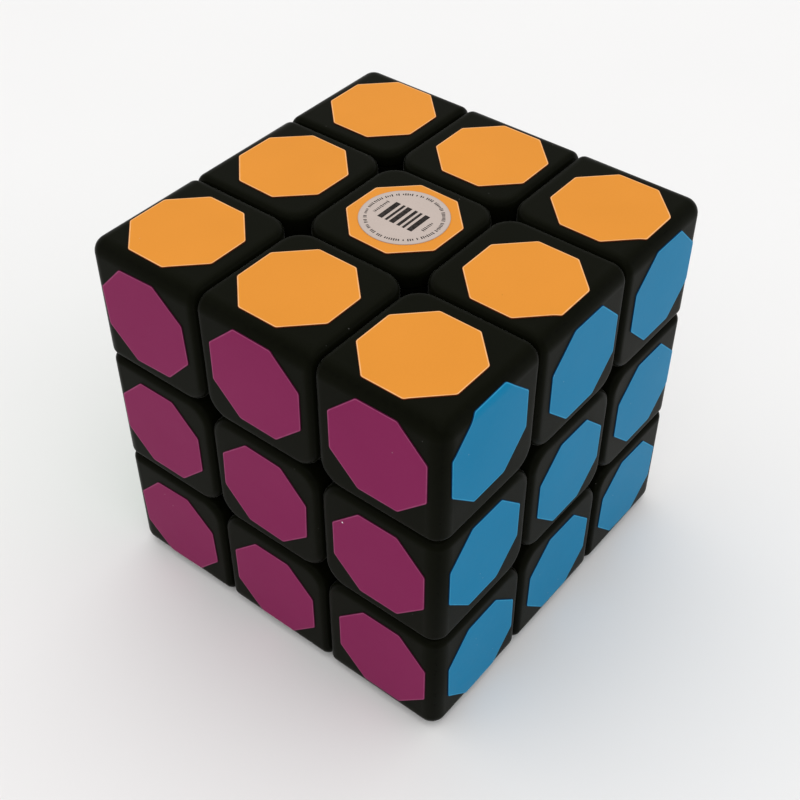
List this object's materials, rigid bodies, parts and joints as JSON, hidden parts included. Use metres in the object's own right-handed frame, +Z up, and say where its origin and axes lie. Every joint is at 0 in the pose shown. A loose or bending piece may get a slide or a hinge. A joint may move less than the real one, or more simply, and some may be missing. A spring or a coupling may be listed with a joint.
{
  "type": "cube twisty puzzle",
  "caption": "Cube-shaped turning puzzle of three layers a side, with a sprung core, footed edge and corner pieces and faces that turn without limit.",
  "frame": {"origin": "centre of the square that the cube rests on", "axes": "+Z up, -Y the front face, +X the right-hand face"},
  "size_m": [0.057, 0.057, 0.057],
  "materials": {
    "black_plastic": "satin black moulded plastic, lightly handled",
    "core_plastic": "plain black moulded plastic",
    "screw_steel": "zinc plated",
    "spring_steel": "drawn spring wire",
    "sticker_orange": "printed vinyl film, satin",
    "sticker_magenta": "printed vinyl film, satin",
    "sticker_blue": "printed vinyl film, satin",
    "sticker_yellow": "printed vinyl film, satin",
    "sticker_green": "printed vinyl film, satin",
    "sticker_white": "printed vinyl film, satin",
    "label_paper": "coated paper label"
  },
  "bodies": {
    "core": {"core": "core_plastic", "screw_top": "screw_steel", "washer_top": "screw_steel", "spring_top": "spring_steel", "screw_bottom": "screw_steel", "washer_bottom": "screw_steel", "spring_bottom": "spring_steel", "screw_right": "screw_steel", "washer_right": "screw_steel", "spring_right": "spring_steel", "screw_left": "screw_steel", "washer_left": "screw_steel", "spring_left": "spring_steel", "screw_front": "screw_steel", "washer_front": "screw_steel", "spring_front": "spring_steel", "screw_back": "screw_steel", "washer_back": "screw_steel", "spring_back": "spring_steel"},
    "top_centre": {"centre_base_top": "black_plastic", "centre_cap_top": "black_plastic"},
    "bottom_centre": {"centre_base_bottom": "black_plastic", "centre_cap_bottom": "black_plastic"},
    "right_centre": {"centre_base_right": "black_plastic", "centre_cap_right": "black_plastic"},
    "left_centre": {"centre_base_left": "black_plastic", "centre_cap_left": "black_plastic"},
    "front_centre": {"centre_base_front": "black_plastic", "centre_cap_front": "black_plastic"},
    "back_centre": {"centre_base_back": "black_plastic", "centre_cap_back": "black_plastic"},
    "top_front_edge": {"edge_top_front": "black_plastic"},
    "top_back_edge": {"edge_top_back": "black_plastic"},
    "top_right_edge": {"edge_top_right": "black_plastic"},
    "top_left_edge": {"edge_top_left": "black_plastic"},
    "bottom_front_edge": {"edge_bottom_front": "black_plastic"},
    "bottom_back_edge": {"edge_bottom_back": "black_plastic"},
    "bottom_right_edge": {"edge_bottom_right": "black_plastic"},
    "bottom_left_edge": {"edge_bottom_left": "black_plastic"},
    "front_right_edge": {"edge_front_right": "black_plastic"},
    "front_left_edge": {"edge_front_left": "black_plastic"},
    "back_right_edge": {"edge_back_right": "black_plastic"},
    "back_left_edge": {"edge_back_left": "black_plastic"},
    "top_front_right_corner": {"corner_foot_top_front_right": "black_plastic", "corner_shell_top_front_right": "black_plastic"},
    "top_front_left_corner": {"corner_foot_top_front_left": "black_plastic", "corner_shell_top_front_left": "black_plastic"},
    "top_back_right_corner": {"corner_foot_top_back_right": "black_plastic", "corner_shell_top_back_right": "black_plastic"},
    "top_back_left_corner": {"corner_foot_top_back_left": "black_plastic", "corner_shell_top_back_left": "black_plastic"},
    "bottom_front_right_corner": {"corner_foot_bottom_front_right": "black_plastic", "corner_shell_bottom_front_right": "black_plastic"},
    "bottom_front_left_corner": {"corner_foot_bottom_front_left": "black_plastic", "corner_shell_bottom_front_left": "black_plastic"},
    "bottom_back_right_corner": {"corner_foot_bottom_back_right": "black_plastic", "corner_shell_bottom_back_right": "black_plastic"},
    "bottom_back_left_corner": {"corner_foot_bottom_back_left": "black_plastic", "corner_shell_bottom_back_left": "black_plastic"}
  },
  "joints": [
    {"name": "top_turn", "type": "hinge", "parent": "core", "child": "top_centre", "pos_m": [0, 0, 0.0285], "axis": [0, 0, 1], "continuous": true},
    {"name": "bottom_turn", "type": "hinge", "parent": "core", "child": "bottom_centre", "pos_m": [0, 0, 0.0285], "axis": [0, 0, -1], "continuous": true},
    {"name": "right_turn", "type": "hinge", "parent": "core", "child": "right_centre", "pos_m": [0, 0, 0.0285], "axis": [1, 0, 0], "continuous": true},
    {"name": "left_turn", "type": "hinge", "parent": "core", "child": "left_centre", "pos_m": [0, 0, 0.0285], "axis": [-1, 0, 0], "continuous": true},
    {"name": "front_turn", "type": "hinge", "parent": "core", "child": "front_centre", "pos_m": [0, 0, 0.0285], "axis": [0, -1, 0], "continuous": true},
    {"name": "back_turn", "type": "hinge", "parent": "core", "child": "back_centre", "pos_m": [0, 0, 0.0285], "axis": [0, 1, 0], "continuous": true},
    {"name": "top_right_edge_turn", "type": "hinge", "parent": "top_centre", "child": "top_right_edge", "pos_m": [0, 0, 0.0285], "axis": [1, 0, 0], "continuous": true},
    {"name": "bottom_right_edge_turn", "type": "hinge", "parent": "right_centre", "child": "bottom_right_edge", "pos_m": [0, 0, 0.0285], "axis": [0, 0, -1], "continuous": true},
    {"name": "top_left_edge_turn", "type": "hinge", "parent": "top_centre", "child": "top_left_edge", "pos_m": [0, 0, 0.0285], "axis": [-1, 0, 0], "continuous": true},
    {"name": "bottom_left_edge_turn", "type": "hinge", "parent": "left_centre", "child": "bottom_left_edge", "pos_m": [0, 0, 0.0285], "axis": [0, 0, -1], "continuous": true},
    {"name": "top_front_edge_turn", "type": "hinge", "parent": "top_centre", "child": "top_front_edge", "pos_m": [0, 0, 0.0285], "axis": [0, -1, 0], "continuous": true},
    {"name": "bottom_front_edge_turn", "type": "hinge", "parent": "front_centre", "child": "bottom_front_edge", "pos_m": [0, 0, 0.0285], "axis": [0, 0, -1], "continuous": true},
    {"name": "top_back_edge_turn", "type": "hinge", "parent": "top_centre", "child": "top_back_edge", "pos_m": [0, 0, 0.0285], "axis": [0, 1, 0], "continuous": true},
    {"name": "bottom_back_edge_turn", "type": "hinge", "parent": "back_centre", "child": "bottom_back_edge", "pos_m": [0, 0, 0.0285], "axis": [0, 0, -1], "continuous": true},
    {"name": "front_right_edge_turn", "type": "hinge", "parent": "front_centre", "child": "front_right_edge", "pos_m": [0, 0, 0.0285], "axis": [1, 0, 0], "continuous": true},
    {"name": "top_front_right_corner_turn", "type": "hinge", "parent": "front_right_edge", "child": "top_front_right_corner", "pos_m": [0, 0, 0.0285], "axis": [0, 0, 1], "continuous": true},
    {"name": "bottom_front_right_corner_turn", "type": "hinge", "parent": "front_right_edge", "child": "bottom_front_right_corner", "pos_m": [0, 0, 0.0285], "axis": [0, 0, -1], "continuous": true},
    {"name": "back_right_edge_turn", "type": "hinge", "parent": "right_centre", "child": "back_right_edge", "pos_m": [0, 0, 0.0285], "axis": [0, 1, 0], "continuous": true},
    {"name": "top_back_right_corner_turn", "type": "hinge", "parent": "back_right_edge", "child": "top_back_right_corner", "pos_m": [0, 0, 0.0285], "axis": [0, 0, 1], "continuous": true},
    {"name": "bottom_back_right_corner_turn", "type": "hinge", "parent": "back_right_edge", "child": "bottom_back_right_corner", "pos_m": [0, 0, 0.0285], "axis": [0, 0, -1], "continuous": true},
    {"name": "back_left_edge_turn", "type": "hinge", "parent": "back_centre", "child": "back_left_edge", "pos_m": [0, 0, 0.0285], "axis": [-1, 0, 0], "continuous": true},
    {"name": "top_back_left_corner_turn", "type": "hinge", "parent": "back_left_edge", "child": "top_back_left_corner", "pos_m": [0, 0, 0.0285], "axis": [0, 0, 1], "continuous": true},
    {"name": "bottom_back_left_corner_turn", "type": "hinge", "parent": "back_left_edge", "child": "bottom_back_left_corner", "pos_m": [0, 0, 0.0285], "axis": [0, 0, -1], "continuous": true},
    {"name": "front_left_edge_turn", "type": "hinge", "parent": "left_centre", "child": "front_left_edge", "pos_m": [0, 0, 0.0285], "axis": [0, -1, 0], "continuous": true},
    {"name": "top_front_left_corner_turn", "type": "hinge", "parent": "front_left_edge", "child": "top_front_left_corner", "pos_m": [0, 0, 0.0285], "axis": [0, 0, 1], "continuous": true},
    {"name": "bottom_front_left_corner_turn", "type": "hinge", "parent": "front_left_edge", "child": "bottom_front_left_corner", "pos_m": [0, 0, 0.0285], "axis": [0, 0, -1], "continuous": true}
  ],
  "couplings": [
    {"joint": "top_right_edge_turn", "follows": "right_turn", "ratio": 1},
    {"joint": "bottom_right_edge_turn", "follows": "bottom_turn", "ratio": 1},
    {"joint": "top_left_edge_turn", "follows": "left_turn", "ratio": 1},
    {"joint": "bottom_left_edge_turn", "follows": "bottom_turn", "ratio": 1},
    {"joint": "top_front_edge_turn", "follows": "front_turn", "ratio": 1},
    {"joint": "bottom_front_edge_turn", "follows": "bottom_turn", "ratio": 1},
    {"joint": "top_back_edge_turn", "follows": "back_turn", "ratio": 1},
    {"joint": "bottom_back_edge_turn", "follows": "bottom_turn", "ratio": 1},
    {"joint": "front_right_edge_turn", "follows": "right_turn", "ratio": 1},
    {"joint": "top_front_right_corner_turn", "follows": "top_turn", "ratio": 1},
    {"joint": "bottom_front_right_corner_turn", "follows": "bottom_turn", "ratio": 1},
    {"joint": "back_right_edge_turn", "follows": "back_turn", "ratio": 1},
    {"joint": "top_back_right_corner_turn", "follows": "top_turn", "ratio": 1},
    {"joint": "bottom_back_right_corner_turn", "follows": "bottom_turn", "ratio": 1},
    {"joint": "back_left_edge_turn", "follows": "left_turn", "ratio": 1},
    {"joint": "top_back_left_corner_turn", "follows": "top_turn", "ratio": 1},
    {"joint": "bottom_back_left_corner_turn", "follows": "bottom_turn", "ratio": 1},
    {"joint": "front_left_edge_turn", "follows": "front_turn", "ratio": 1},
    {"joint": "top_front_left_corner_turn", "follows": "top_turn", "ratio": 1},
    {"joint": "bottom_front_left_corner_turn", "follows": "bottom_turn", "ratio": 1}
  ]
}
